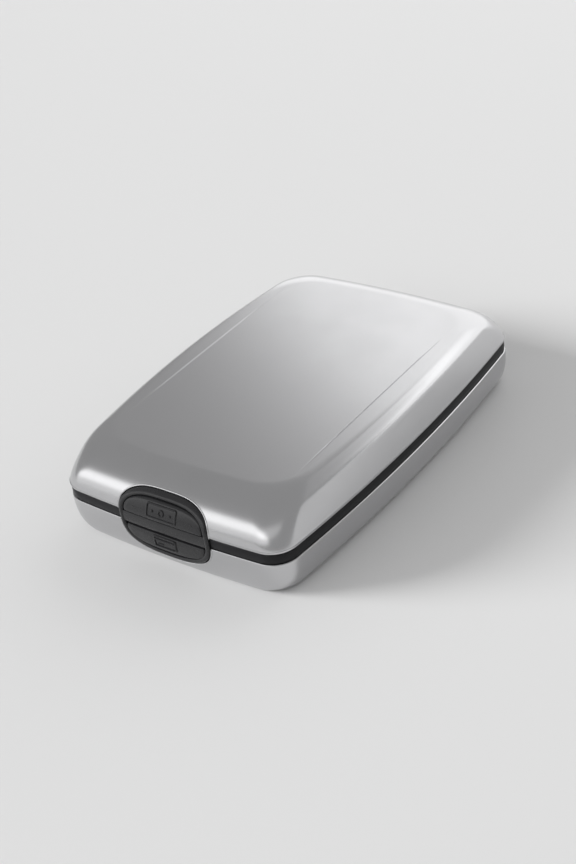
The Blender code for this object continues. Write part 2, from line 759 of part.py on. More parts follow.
def build():
    clear_scene()
    aluminium = material("satin_aluminium", (0.62, 0.62, 0.63), 0.34, 1)
    black = material("black_plastic", (0.018, 0.018, 0.02), 0.5, 0)
    charcoal = material("charcoal_plastic", (0.05, 0.05, 0.053), 0.42, 0)
    steel = material("spring_steel", (0.55, 0.55, 0.56), 0.3, 1)

    chassis = make_pivot("chassis_pivot", (0, 0, 0))
    lids = {1: make_pivot("cash_lid_pivot", (0, hinge_y, hinge_height)),
            -1: make_pivot("cards_lid_pivot", (0, hinge_y, -hinge_height))}
    presses = {1: make_pivot("cash_button_pivot", (0, -half_length, button_spring_height)),
               -1: make_pivot("cards_button_pivot", (0, -half_length, -button_spring_height))}
    tray = make_pivot("card_tray_pivot", (0, tray_pivot_y, tray_pivot_height))
    clip = make_pivot("money_clip_pivot", (0, clip_pivot_y, clip_pivot_height))

    finish(mid_frame("mid_frame"), black, chassis)
    finish(bezel("button_bezel"), charcoal, chassis)
    for sign, side, form in ((1, "cash", upper_form), (-1, "cards", lower_form)):
        finish(shell(f"{side}_shell", form), aluminium, lids[sign])
        finish(liner(f"{side}_liner", form), black, lids[sign])
        finish(button(f"{side}_button", sign), charcoal, presses[sign])
        for hand, x in (("left", -button_spring_place), ("right", button_spring_place)):
            finish(compression_spring(f"{side}_button_spring_{hand}", x, sign * button_spring_height),
                   steel, chassis)
        reach = lug_outer + pin_overhang
        finish(cylinder_x(f"hinge_pin_{side}", -reach, reach, hinge_y, sign * hinge_height,
                          hinge_pin_radius),
               steel, chassis)
        finish(torsion_spring(f"{side}_lid_spring", (hinge_y, sign * hinge_height), lid_spring_turns,
                              lid_spring_pitch, lid_spring_radius, lid_spring_wire, math.pi / 2,
                              (lid_spring_wire, lid_spring_leg), sign), steel, chassis)

    finish(card_tray("card_tray"), black, tray)
    tray_reach = tray_outer_ear + tray_ear_width
    finish(cylinder_x("tray_pin", -tray_reach, tray_reach, tray_pivot_y, tray_pivot_height, tray_pin_radius),
           steel, chassis)
    finish(torsion_spring("tray_spring", (tray_pivot_y, tray_pivot_height), tray_spring_turns,
                          tray_spring_pitch, tray_spring_radius, tray_spring_wire, math.pi,
                          (tray_spring_wire, tray_spring_wire), 1), steel, chassis)

    finish(money_clip("money_clip"), steel, clip)
    clip_reach = clip_half_width + part_gap + clip_ear_width
    finish(cylinder_x("clip_pin", -clip_reach, clip_reach, clip_pivot_y, clip_pivot_height, clip_pin_radius),
           steel, chassis)
    finish(torsion_spring("clip_spring", (clip_pivot_y, clip_pivot_height), clip_spring_turns,
                          clip_spring_pitch, clip_spring_radius, clip_spring_wire, math.pi,
                          (clip_spring_wire, clip_spring_wire), 1), steel, chassis)


build()
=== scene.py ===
"""Two-sided aluminium card holder: satin shells, belt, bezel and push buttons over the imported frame.

Lengths are in metres. Shapes are worked out in the case's own coordinates, with the middle of the belt
at the origin, and are lifted onto the floor when they are made into meshes.
"""
import math

import bmesh
import bpy
import numpy as np
from mathutils import Matrix, Vector


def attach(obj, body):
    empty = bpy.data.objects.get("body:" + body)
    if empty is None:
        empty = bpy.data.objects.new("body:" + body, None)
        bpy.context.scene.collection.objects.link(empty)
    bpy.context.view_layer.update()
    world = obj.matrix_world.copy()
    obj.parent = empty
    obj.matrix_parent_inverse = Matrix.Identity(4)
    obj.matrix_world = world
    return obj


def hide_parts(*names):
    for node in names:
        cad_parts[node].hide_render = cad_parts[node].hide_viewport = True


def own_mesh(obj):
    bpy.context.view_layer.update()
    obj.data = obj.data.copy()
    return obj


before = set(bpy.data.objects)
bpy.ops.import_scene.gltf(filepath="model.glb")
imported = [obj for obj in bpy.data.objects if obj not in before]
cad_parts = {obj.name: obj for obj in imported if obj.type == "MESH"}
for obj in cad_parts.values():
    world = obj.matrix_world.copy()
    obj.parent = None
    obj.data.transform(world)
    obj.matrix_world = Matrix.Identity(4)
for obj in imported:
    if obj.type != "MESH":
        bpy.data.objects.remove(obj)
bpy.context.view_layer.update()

mm = 0.001

# Place of the belt's middle in the frame
case_offset = np.array([0, -0.725, 10.85]) * mm

# Case outline, belt and seams
half_width = 35 * mm
half_length = 52.3 * mm
side_bow = 2.9 * mm
end_bow = 1.5 * mm
corner_radius = 6.6 * mm
rim_height = 1.45 * mm
rim_round = 0.22 * mm
straight_rise = 0.3 * mm
shell_wall = 0.8 * mm

# Pressed creases of the panel, with rings at these distances outward from their deepest line
crease_half_width = 26 * mm
crease_half_length = 36 * mm
crease_corner = 1.5 * mm
crease_bow = 0.01 * mm
crease_depth = 0.22 * mm
crease_outer_run = 0.42 * mm
crease_inner_run = 0.12 * mm
crease_full_share = 0.45
crease_rings = np.array([0.62, 0.42, 0.39, 0.34, 0.28, 0.21, 0.14, 0.07, 0.02, 0, -0.01, -0.03, -0.055, -0.08,
                         -0.1, -0.12, -0.26]) * mm

# Bezel, its bar and its two snap legs, whose reaches are measured from the front end
bezel_half_width = 13.1 * mm
bezel_top = 7.85 * mm
bezel_bottom = 8.2 * mm
bezel_powers = (3.14, 2.76)
bezel_fit = 0.2 * mm
bezel_rim = 1.25 * mm
bar_half_height = 1.5 * mm
bar_half_length = 12.3 * mm
leg_place = 4.4 * mm
leg_half_width = 1 * mm
leg_half_height = 0.35 * mm
leg_start = 0.4 * mm
hook_start = 3.3 * mm
hook_tip = 4.2 * mm
hook_height = 0.7 * mm

# Lip of the shells round the bezel
lip_radius = 0.2 * mm
lip_room = 0.1 * mm
lip_sink = 0.02 * mm

# Buttons; the foot gap is under the upper pad or over the lower one, and reaches are from the front end
button_fit = 0.34 * mm
foot_gaps = {1: 0.14 * mm, -1: 0.58 * mm}
pad_corner = 0.7 * mm
pad_depth = 0.4 * mm
pad_crown = 0.11 * mm
arm_place = 8 * mm
arm_half_width = 0.9 * mm
arm_heights = np.array([2.25, 3.65]) * mm
arm_reach = 4.7 * mm
crossbar_half_length = 11.4 * mm
crossbar_heights = np.array([2.85, 3.65]) * mm
crossbar_reaches = (4.3 * mm, 5.5 * mm)

# Pictograms on the pads
sign_proud = 0.48 * mm
note_height = 4.1 * mm
card_height = -4 * mm

# Hinge, with the widths of its openings in the shells and in the belt
hinge_y = 52.9 * mm
hinge_height = 1.7 * mm
notch_half_width = 18.3 * mm
notch_height = 3.35 * mm
belt_gap_half_width = 13.05 * mm

# Springs: wire, radius of its centre line, pitch and turns
lid_spring = (0.4 * mm, 1.05 * mm, 0.92 * mm, 9)
button_spring = (0.32 * mm, 0.9 * mm, 0.78 * mm, 2.5)
tray_spring = (0.36 * mm, 0.9 * mm, 0.85 * mm, 6)
clip_spring = (0.4 * mm, 0.95 * mm, 0.9 * mm, 4)
lid_spring_leg = 2 * mm
button_spring_place = 9 * mm
button_spring_height = 3.25 * mm
button_spring_front = -46.8 * mm
button_spring_seat = -44.01 * mm
tray_pivot = (0, 45.8 * mm, -2 * mm)
clip_pivot = (0, 39 * mm, 2.2 * mm)

# Fineness: segments of a quarter outline's side, corner and end, rings over a skin's roll and flat, points
quarter_segments = (46, 16, 44)
inner_rings = (14, 4)
outer_rings = (34, 8)
arch_points = 800
pad_points = 360
sign_points = 96
turn_points = 26

# Chamfer of plain blocks, reach of a cutter past what it cuts, and least angle of an edge left sharp
block_edge = 0.12 * mm
overrun = 5 * mm
sharp_angle = math.radians(32)

# Camera, fitted to the photograph's outlines
camera_azimuth, camera_elevation, camera_roll = np.radians([40.51, 33.59, -9.08])
camera_distance = 390.07 * mm
camera_aim = np.array([-2.71, -4.86]) * mm
focal_px = 1579.0
image_height_px = 864
sensor_mm = 36.0

# Studio
floor_reach = 30.0
floor_tone = (0.76, 0.76, 0.76)
world_level = 0.39
sun_from = (-0.84, -0.52, 0.37)
sun_level = 3.4
sun_spread = math.radians(22)


def make_camera():
    """Camera at the photograph's angle: it looks at a point near the belt's middle, rolled a little."""
    az, el, roll = camera_azimuth, camera_elevation, camera_roll
    back = np.array([math.sin(az) * math.cos(el), -math.cos(az) * math.cos(el), math.sin(el)])
    right = np.array([math.cos(az), math.sin(az), 0])
    up = np.cross(back, right)
    place = camera_aim[0] * right + camera_aim[1] * up + back * camera_distance + case_offset
    axes = np.array([right * math.cos(roll) + up * math.sin(roll),
                     up * math.cos(roll) - right * math.sin(roll), back]).T
    data = bpy.data.cameras.new("camera")
    data.sensor_width = sensor_mm
    data.lens = sensor_mm * focal_px / image_height_px
    data.clip_start = 0.01
    camera = bpy.data.objects.new("camera", data)
    camera.matrix_world = Matrix.LocRotScale(Vector(place), Matrix(axes.tolist()).to_quaternion(), None)
    bpy.context.scene.collection.objects.link(camera)
    bpy.context.scene.camera = camera


class Value:
    """One output socket; arithmetic on it adds Math nodes to its tree."""

    def __init__(self, graph, socket):
        self.graph, self.socket = graph, socket

    def _maths(self, operation, *values):
        return self.graph.node("Math", dict(enumerate(values)), operation=operation)[0]

    def __add__(self, other):
        return self._maths("ADD", self, other)

    def __sub__(self, other):
        return self._maths("SUBTRACT", self, other)

    def __mul__(self, other):
        return self._maths("MULTIPLY", self, other)

    def step(self, low, high):
        """0 below low and 1 above high, with a smooth rise between them."""
        ramp = self.graph.node("MapRange", {"Value": self, "From Min": low, "From Max": high},
                               interpolation_type="SMOOTHSTEP")
        return ramp["Result"]

    __radd__ = __add__


class Made:
    """One node, whose outputs are read by name or number."""

    def __init__(self, graph, node):
        self.graph, self.raw = graph, node

    def __getitem__(self, key):
        return Value(self.graph, self.raw.outputs[key])


class Graph:
    """A node tree that is filled by one call for each node."""

    def __init__(self, tree):
        self.tree = tree
        tree.nodes.clear()

    def node(self, kind, inputs=None, **settings):
        """Adds a shader node: its settings are set first, then its sockets are given values or links."""
        made = self.tree.nodes.new("ShaderNode" + kind)
        for key, value in settings.items():
            setattr(made, key, value)
        for key, value in (inputs or {}).items():
            if isinstance(value, Value):
                self.tree.links.new(value.socket, made.inputs[key])
            else:
                made.inputs[key].default_value = value
        return Made(self, made)


def surface(name, metallic, finish, gloss=0.5):
    """Principled material. finish(graph, place) returns its colour, its roughness and any relief."""
    made = bpy.data.materials.new(name)
    made.use_nodes = True
    graph = Graph(made.node_tree)
    place = graph.node("TexCoord")["Object"]
    inputs = {"Metallic": metallic, "Specular IOR Level": gloss}
    inputs.update(finish(graph, place))
    shader = graph.node("BsdfPrincipled", inputs)
    graph.node("OutputMaterial", {"Surface": shader["BSDF"]})
    return made


def noise(graph, place, size, detail=2.0, stretch=None):
    """Cloudy pattern whose features are about the size, in metres, drawn out along an axis if asked."""
    if stretch:
        place = graph.node("Mapping", {"Vector": place, "Scale": stretch})["Vector"]
    return graph.node("TexNoise", {"Vector": place, "Scale": 1 / size, "Detail": detail})["Fac"]


def relief(graph, height, depth, strength):
    """Normal from a height pattern, with its depth in metres."""
    return graph.node("Bump", {"Height": height, "Distance": depth, "Strength": strength})["Normal"]


def tinted(graph, colour, share, other):
    """Colour that moves towards another by a share that varies."""
    mix = graph.node("Mix", {0: share, 6: (*colour, 1), 7: (*other, 1)}, data_type="RGBA")
    return mix[2]


def painted(colour, roughness):
    """Plain coat, the same all over."""
    def finish(graph, place):
        return {"Base Color": (*colour, 1), "Roughness": roughness}
    return finish


def satin_metal(base, roughness):
    """Bead-blasted and anodised: a fine even grain under faint broad clouding."""
    def finish(graph, place):
        grain = noise(graph, place, 0.16 * mm, 3)
        cloud = noise(graph, place, 14 * mm, 3)
        fleck = noise(graph, place, 0.6 * mm, 2)
        return {"Roughness": roughness + (cloud - 0.5) * 0.05 + (fleck - 0.5) * 0.05,
                "Base Color": tinted(graph, base, cloud.step(0.3, 0.7) * 0.5 + fleck * 0.3,
                                     [c * 0.95 for c in base]),
                "Normal": relief(graph, grain, 0.0012 * mm, 0.5)}
    return finish


def moulded(base, roughness, grain_size=0.22 * mm, depth=0.012 * mm):
    """Moulded plastic with a fine spark-eroded texture and slight sheen changes."""
    def finish(graph, place):
        grain = noise(graph, place, grain_size, 3)
        cloud = noise(graph, place, 6 * mm, 3)
        return {"Roughness": roughness + (cloud - 0.5) * 0.1 + (grain - 0.5) * 0.12,
                "Base Color": tinted(graph, base, cloud, [c * 1.25 + 0.002 for c in base]),
                "Normal": relief(graph, grain, depth, 0.6)}
    return finish


def drawn_steel(base, roughness, along):
    """Rolled or drawn steel: fine lines along one axis."""
    def finish(graph, place):
        lines = noise(graph, place, 0.1 * mm, 2, along)
        cloud = noise(graph, place, 3 * mm, 2)
        return {"Roughness": roughness + (lines - 0.5) * 0.16 + (cloud - 0.5) * 0.06,
                "Base Color": tinted(graph, base, lines, [c * 0.86 for c in base]),
                "Normal": relief(graph, lines, 0.004 * mm, 0.5)}
    return finish


aluminium = surface("satin_aluminium", 1, satin_metal((0.6, 0.6, 0.61), 0.23))
black = surface("belt_plastic", 0, moulded((0.007, 0.007, 0.008), 0.42), 0.22)
charcoal = surface("bezel_plastic", 0, moulded((0.013, 0.013, 0.014), 0.27), 0.45)
inner_black = surface("liner_plastic", 0, moulded((0.02, 0.02, 0.022), 0.5, 0.35 * mm, 0.02 * mm))
steel = surface("spring_steel", 1, drawn_steel((0.62, 0.61, 0.6), 0.26, (0.08, 1, 1)))
strap_steel = surface("strap_steel", 1, drawn_steel((0.64, 0.63, 0.62), 0.3, (1, 0.05, 1)))


def new_object(name, points, faces):
    """Object from case coordinates and faces, placed on the floor, with its faces turned outward."""
    mesh = bpy.data.meshes.new(name)
    mesh.from_pydata((np.asarray(points) + case_offset).tolist(), [], faces)
    mesh.validate()
    made = bpy.data.objects.new(name, mesh)
    bpy.context.scene.collection.objects.link(made)
    bm = bmesh.new()
    bm.from_mesh(mesh)
    bmesh.ops.remove_doubles(bm, verts=bm.verts, dist=1e-7)
    bmesh.ops.recalc_face_normals(bm, faces=bm.faces)
    bm.to_mesh(mesh)
    bm.free()
    return made


def smooth(made):
    """Smooth shading but for the sharp edges."""
    made.data.shade_smooth()
    made.data.set_sharp_from_angle(angle=sharp_angle)


def dress(made, body, material, replaced=()):
    """Gives a piece its material, puts it under its body's empty, and hides the CAD nodes it stands for."""
    made.data.materials.clear()
    made.data.materials.append(material)
    smooth(made)
    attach(made, body)
    if replaced:
        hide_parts(*replaced)


def mesh_piece(name, points, faces, body, slot, material, replaced=()):
    """New object, dressed as a piece of the case."""
    made = new_object(name, points, faces)
    dress(made, body, material, replaced)
    return made


def grid_faces(rows, columns, closed_rows):
    """Quads over a grid of points that is wrapped along its columns and, if asked, its rows."""
    j = np.arange(columns)
    i = np.arange(rows if closed_rows else rows - 1)
    here, there = i[:, None] * columns, ((i + 1) % rows)[:, None] * columns
    far = (j + 1) % columns
    quads = np.stack(np.broadcast_arrays(here + j, here + far, there + far, there + j), -1)
    return quads.reshape(-1, 4).tolist()


def loft_parts(rings, closed=False):
    """Points and faces through rings of equal counts, capped at both ends or joined into a loop."""
    rings = np.asarray(rings)
    rows, columns = rings.shape[:2]
    faces = grid_faces(rows, columns, closed)
    if not closed:
        faces.append(list(range(columns))[::-1])
        faces.append(list(range((rows - 1) * columns, rows * columns)))
    return rings.reshape(-1, 3), faces


def merged(parts):
    """Several sets of points and faces as one."""
    points, faces, start = [], [], 0
    for part_points, part_faces in parts:
        points.append(part_points)
        faces += [[start + index for index in face] for face in part_faces]
        start += len(part_points)
    return np.vstack(points), faces


def arc_radius(half_chord, bow):
    return (half_chord ** 2 + bow ** 2) / (2 * bow)


def outline(half_x, half_y, bow_x, bow_y, corner):
    """Plan outline: sides and ends are shallow arcs, tangent to the corner arcs between them."""
    side_r, end_r = arc_radius(half_y, bow_x), arc_radius(half_x, bow_y)
    side_c, end_c = np.array([half_x - side_r, 0]), np.array([0, half_y - end_r])
    near, far = side_r - corner, end_r - corner
    across = end_c - side_c
    span = np.hypot(*across)
    along = (near ** 2 - far ** 2 + span ** 2) / (2 * span)
    unit = across / span
    centre = side_c + along * unit + math.sqrt(near ** 2 - along ** 2) * np.array([-unit[1], unit[0]])
    first = math.atan2(*(centre - side_c)[::-1])
    last = math.atan2(*(centre - end_c)[::-1])

    def arc(middle, radius, start, stop, count):
        angle = np.linspace(start, stop, count + 1)[:, None]
        return middle + radius * np.hstack([np.cos(angle), np.sin(angle)])

    side_count, corner_count, end_count = quarter_segments
    quarter = np.vstack([arc(side_c, side_r, 0, first, side_count)[:-1],
                         arc(centre, corner, first, last, corner_count)[:-1],
                         arc(end_c, end_r, last, math.pi / 2, end_count)])
    half = np.vstack([quarter, (quarter * [-1, 1])[::-1][1:]])
    return np.vstack([half, (half * [1, -1])[::-1][1:-1]])


def smooth_share(value):
    value = np.clip(value, 0, 1)
    return value * value * (3 - 2 * value)


def crease_depth_at(x, y):
    """Depth of a crease: it fades towards both ends, and its inner wall is the steeper one."""
    fade = np.clip((1 - np.abs(y) / crease_half_length) / (1 - crease_full_share), 0, 1)
    away = np.abs(x) - crease_half_width
    run = np.where(away > 0, crease_outer_run, crease_inner_run)
    return crease_depth * fade * smooth_share(1 - np.abs(away) / run)


class ShellForm:
    """Outer form of one shell: a superellipse roll round a crowned panel with two long creases.

    The pairs hold a value for the sides and one for the ends. side_bend is a radius and a draft angle,
    for sides that have a straight wall and a round bend instead of the roll.
    """

    def __init__(self, sign, rise, rolls, power, spread, top_bows, crowns, side_bend=None):
        self.sign, self.rise, self.power, self.spread = sign, rise, power, spread
        self.rolls, self.top_bows, self.crowns, self.side_bend = rolls, top_bows, crowns, side_bend

    def side_share(self, up, back):
        """Share of the side roll's width that is used up at a share of its height."""
        if not self.side_bend:
            return back
        radius, draft = self.side_bend
        tall = self.rise - straight_rise
        wall = tall - radius * (1 - math.cos(draft))
        width = wall / math.tan(draft) + radius * math.sin(draft)
        if up * tall <= wall:
            return up * tall / math.tan(draft) / width
        return 1 - radius * math.sqrt(1 - (1 - tall * (1 - up) / radius) ** 2) / width

    def panel(self, plan, inset):
        """Panel height over the rim: two crown parabolas, less the creases on the outer skin."""
        x, y = plan[..., 0], plan[..., 1]
        height = self.rise - inset - self.crowns[0] * (x / half_width) ** 2
        height = height - self.crowns[1] * (y / half_length) ** 2
        return height if inset else height - crease_depth_at(x, y)

    def plan(self, inset, up, back):
        """Plan outline at a share of the roll's height and of its width at the ends."""
        side_roll, end_roll = self.rolls
        side = self.side_share(up, back)
        return outline(half_width - inset - (side_roll - inset) * side,
                       half_length - inset - (end_roll - inset) * back,
                       side_bow + (self.top_bows[0] - side_bow) * side,
                       end_bow + (self.top_bows[1] - end_bow) * back,
                       corner_radius - inset + (self.spread + inset) * (side + back) / 2)

    def skin(self, inset, counts):
        """Rings from the rim to the panel's middle: back = 1 - cos^(2/p), up = sin^(2/p) on the roll."""
        roll_rings, panel_rings = counts
        rings = []
        for angle in np.linspace(0, math.pi / 2, roll_rings):
            back = 1 - max(math.cos(angle), 0) ** (2 / self.power)
            up = math.sin(angle) ** (2 / self.power)
            plan = self.plan(inset, up, back)
            rings.append((plan, straight_rise + (self.panel(plan, inset) - straight_rise) * up))
        edge = self.plan(inset, 1, 1)
        creases = [outline(crease_half_width + out, crease_half_length + out, crease_bow, end_bow,
                           crease_corner + out) for out in (crease_rings[::8] if inset else crease_rings)]
        for share in np.linspace(0, 1, panel_rings)[1:-1]:
            plan = edge + (creases[0] - edge) * share
            rings.append((plan, self.panel(plan, inset)))
        for plan in creases + [creases[-1] * share for share in (0.94, 0.84, 0.68, 0.48, 0.26, 0.06)]:
            rings.append((plan, self.panel(plan, inset)))
        return [np.column_stack([plan, rim_height + height]) for plan, height in rings]

    def solid(self):
        """Closed shell: inner skin from its middle out, the rim with a small round, then the outer skin."""
        inner = self.skin(shell_wall, inner_rings)[::-1]
        rim = []
        for angle in np.radians([0, 30, 60, 90]):
            drawn_in = rim_round * (1 - math.sin(angle))
            plan = outline(half_width - drawn_in, half_length - drawn_in, side_bow, end_bow,
                           corner_radius - drawn_in)
            height = rim_height + rim_round * (1 - math.cos(angle))
            rim.append(np.column_stack([plan, np.full(len(plan), height)]))
        outer = self.skin(0, outer_rings)
        outer[0] = outer[0] + [0, 0, straight_rise]
        return [ring * [1, 1, self.sign] for ring in inner + rim + outer]

    def front(self, x, height, inset):
        """Y of the front face at places across it and heights over the rim, moved in by the inset."""
        top = self.rise - inset - self.crowns[1]
        up = np.clip((height - straight_rise) / (top - straight_rise), 0, 1)
        back = 1 - (1 - up ** self.power) ** (1 / self.power)
        half_x = half_width - inset - (self.rolls[0] - inset) * back
        half_y = half_length - inset - (self.rolls[1] - inset) * back
        end_r = arc_radius(half_x, end_bow + (self.top_bows[1] - end_bow) * back)
        return end_r - half_y - np.sqrt(end_r ** 2 - x ** 2)


upper_form = ShellForm(sign=1, rise=10.05 * mm, rolls=(5.1 * mm, 10.8 * mm), power=1.7, spread=5 * mm,
                       top_bows=(3.8 * mm, 2.1 * mm), crowns=(0.05 * mm, 0.35 * mm),
                       side_bend=(3.8 * mm, math.radians(76)))
lower_form = ShellForm(sign=-1, rise=9.4 * mm, rolls=(4.6 * mm, 2.6 * mm), power=2.9, spread=3.6 * mm,
                       top_bows=(side_bow, end_bow), crowns=(0, 0))


def front_points(x, z, proud):
    """Points over the case's front end, a distance proud of its surface."""
    x, z, proud = np.broadcast_arrays(x, z, proud)
    height = np.abs(z) - rim_height
    y = np.where(z > 0, upper_form.front(x, height, -proud), lower_form.front(x, height, -proud))
    return np.stack([x, y, z], -1)


def evenly(points, count):
    """The same closed line with its points spread evenly along it."""
    points = np.vstack([points, points[:1]])
    along = np.concatenate([[0], np.cumsum(np.hypot(*np.diff(points, axis=0).T))])
    target = np.linspace(0, along[-1], count + 1)[:-1]
    return np.column_stack([np.interp(target, along, points[:, axis]) for axis in (0, 1)])


def arch(half_x, height, power, base=0.0):
    """Superellipse arch over a base line, from its right foot to its left."""
    angle = np.linspace(0, math.pi, arch_points)
    across = np.sign(np.cos(angle)) * np.abs(np.cos(angle)) ** (2 / power)
    up = np.sin(angle) ** (2 / power)
    up[0] = up[-1] = 0
    return np.column_stack([half_x * across, base + (height - base) * up])


def bezel_outline(grow, count=420):
    """Closed outline of the bezel in X and Z: a tall arch over a lower, rounder one."""
    upper = arch(bezel_half_width + grow, bezel_top + grow, bezel_powers[0])
    lower = arch(bezel_half_width + grow, bezel_bottom + grow, bezel_powers[1]) * [1, -1]
    return evenly(np.vstack([upper, lower[::-1][1:-1]]), count)


def pad_outline(sign, inset):
    """Closed outline of a pad in its window: an arch on a straight foot with rounded corners."""
    height, power = (bezel_top, bezel_powers[0]) if sign > 0 else (bezel_bottom, bezel_powers[1])
    gap = bezel_rim + button_fit + inset
    foot = bar_half_height + foot_gaps[sign] + inset
    points = evenly(arch(bezel_half_width - gap, height - gap, power, foot) * [1, sign], pad_points)
    reach = int(pad_corner / np.hypot(*(points[1] - points[0])))
    return np.mean([np.roll(points, shift, 0) for shift in range(-reach, reach + 1)], 0)


def block(low, high):
    """Box with its edges along Y chamfered, as rings along Y."""
    (x0, y0, z0), (x1, y1, z1) = low, high
    e = block_edge
    section = np.array([(x0 + e, z0), (x1 - e, z0), (x1, z0 + e), (x1, z1 - e), (x1 - e, z1), (x0 + e, z1),
                        (x0, z1 - e), (x0, z0 + e)])
    return loft_parts([np.column_stack([section[:, 0], np.full(8, y), section[:, 1]]) for y in (y0, y1)])


def sweep_tube(path, reference, radius, sides=10, closed=False):
    """Round tube along a path. The reference at each point is any direction that isn't along the path."""
    ahead = np.roll(path, -1, 0) - np.roll(path, 1, 0)
    if not closed:
        ahead[0], ahead[-1] = path[1] - path[0], path[-1] - path[-2]
    side = np.cross(ahead, reference)
    side /= np.linalg.norm(side, axis=1)[:, None]
    over = np.cross(side, ahead)
    over /= np.linalg.norm(over, axis=1)[:, None]
    angle = np.linspace(0, 2 * math.pi, sides, endpoint=False)[:, None]
    rings = path[:, None] + radius * (np.cos(angle) * side[:, None] + np.sin(angle) * over[:, None])
    return loft_parts(rings, closed)


def evaluated_mesh(made):
    """A new mesh of the object as its modifiers leave it."""
    depsgraph = bpy.context.evaluated_depsgraph_get()
    return bpy.data.meshes.new_from_object(made.evaluated_get(depsgraph))


def cut_with(made, *cutters):
    """Takes solids, given as points and faces, out of a piece with exact Booleans."""
    for points, faces in cutters:
        cutter = new_object("cutter", points, faces)
        step = made.modifiers.new("Cut", "BOOLEAN")
        step.operation = "DIFFERENCE"
        step.solver = "EXACT"
        step.object = cutter
        result = evaluated_mesh(made)
        made.modifiers.clear()
        old = made.data
        made.data = result
        bpy.data.meshes.remove(old)
        bpy.data.objects.remove(cutter)
    smooth(made)


def shell(name, form, body, node):
    """Pressed shell with its bezel and hinge openings, and a rolled lip round the bezel's."""
    points, faces = loft_parts(form.solid())
    made = mesh_piece(name, points, faces, body, "satin_aluminium", aluminium, (node,))
    front = bezel_outline(bezel_fit)
    opening = loft_parts([np.column_stack([front[:, 0], np.full(len(front), y), front[:, 1]])
                          for y in (-half_length - overrun, -half_length + overrun)])
    low, high = sorted((0, form.sign * notch_height))
    notch = block((-notch_half_width, half_length - overrun, low),
                  (notch_half_width, half_length + overrun, high))
    cut_with(made, opening, notch)

    # The lip follows the part of the bezel's outline that lies in this shell, from one seam to the other
    path = bezel_outline(bezel_fit + lip_room, 600)
    path = np.roll(path, len(path) // 4, 0)
    path = path[path[:, 1] * form.sign > rim_height + lip_room]
    steps = np.abs(np.diff(path, axis=0)).sum(1)
    widest = np.argmax(steps)
    if widest and steps[widest] > 2 * mm:
        path = np.roll(path, -(widest + 1), 0)
    line = front_points(path[:, 0], path[:, 1], -lip_sink)
    lip = sweep_tube(line, np.array([0, -1, 0]), lip_radius)
    mesh_piece(name + "_lip", *lip, body, "satin_aluminium", aluminium)


def belt():
    """Smooth outer face of the frame's edge band, between the bezel and the hinge on each side."""
    section = np.array([(0.9, -1.16), (0.34, -1.16), (0.22, -1.1), (0.18, -0.98), (0.18, 0.98), (0.22, 1.1),
                        (0.34, 1.16), (0.9, 1.16)]) * mm
    plans = np.stack([outline(half_width - inset, half_length - inset, side_bow, end_bow,
                              corner_radius - inset) for inset in section[:, 0]], 1)
    face_x, face_y = plans[:, 3].T
    parts = []
    for side in (1, -1):
        keep = face_x * side > 0
        keep &= (face_y > 0) | (np.abs(face_x) > bezel_half_width - bezel_fit)
        keep &= (face_y < 0) | (np.abs(face_x) > belt_gap_half_width)
        order = np.argsort(np.arctan2(face_y[keep], face_x[keep] * side))
        run = plans[keep][order]
        rings = np.dstack([run, np.broadcast_to(section[:, 1], run.shape[:2])])
        parts.append(loft_parts(rings))
    mesh_piece("belt_face", *merged(parts), "chassis", "black_plastic", black)


def bezel():
    """Escutcheon: a crowned rim swept round the outline, the bar across it and two legs with snap hooks."""
    section = np.array([(0.02, -0.9), (0.0, 0.04), (0.03, 0.18), (0.11, 0.32), (0.26, 0.43), (0.48, 0.49),
                        (0.7, 0.5), (0.9, 0.46), (1.08, 0.35), (1.2, 0.18), (1.25, 0.0), (1.25, -0.9)]) * mm
    rings = [front_points(*bezel_outline(-inset).T, proud) for inset, proud in section]
    rim = loft_parts(rings, closed=True)
    bar_section = np.array([(-1.5, -0.88), (-1.5, 0.1), (-1.44, 0.2), (-1.3, 0.26), (-0.6, 0.3), (0, 0.31),
                            (0.6, 0.3), (1.3, 0.26), (1.44, 0.2), (1.5, 0.1), (1.5, -0.88)]) * mm
    across = np.linspace(-bar_half_length, bar_half_length, 60)
    bar = loft_parts(np.swapaxes([front_points(across, z, proud) for z, proud in bar_section], 0, 1))
    start, hook, tip = [-half_length + reach for reach in (leg_start, hook_start, hook_tip)]
    low, high = -leg_half_height, leg_half_height
    leg = np.array([(start, low), (tip, low), (tip, high), (hook, high + hook_height), (hook, high),
                    (start, high)])
    legs = []
    for place in (-leg_place, leg_place):
        sides = (place - leg_half_width, place + leg_half_width)
        legs.append(loft_parts([np.column_stack([np.full(len(leg), x), leg]) for x in sides]))
    points, faces = merged([rim, bar] + legs)
    mesh_piece("bezel", points, faces, "chassis", "charcoal_plastic", charcoal, ("button_bezel",))


